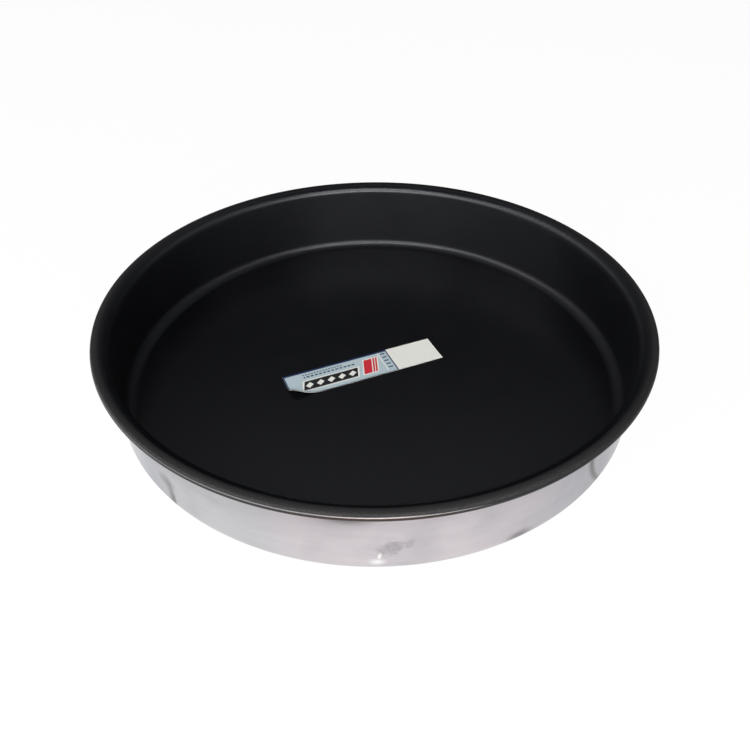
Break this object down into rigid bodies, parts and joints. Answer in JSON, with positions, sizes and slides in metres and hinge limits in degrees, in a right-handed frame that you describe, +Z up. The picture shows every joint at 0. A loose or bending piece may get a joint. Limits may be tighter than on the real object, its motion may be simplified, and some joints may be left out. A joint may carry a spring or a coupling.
{
  "type": "round baking tray",
  "caption": "Shallow round baking tray of pressed steel with an upright wall, a rolled-out lip, a black non-stick lining and a strip label on its floor.",
  "frame": {"origin": "centre of the base's underside, on the face that the tray rests on", "axes": "+Z is up out of the open mouth, +X runs to the right and -Y is the side nearest the viewer in the picture"},
  "size_m": [0.32, 0.32, 0.05],
  "materials": {
    "polished_steel": "polished stainless steel with faint smudges",
    "nonstick_black": "semi-matte black non-stick coating with a fine grain",
    "label_glue": "dull translucent glue layer",
    "label_paper": "satin coated paper, printed pale blue with a blank white end"
  },
  "bodies": {
    "root": {"tray_shell": "polished_steel", "nonstick_lining": "nonstick_black", "label_adhesive": "label_glue", "label_paper": "label_paper"}
  },
  "joints": []
}
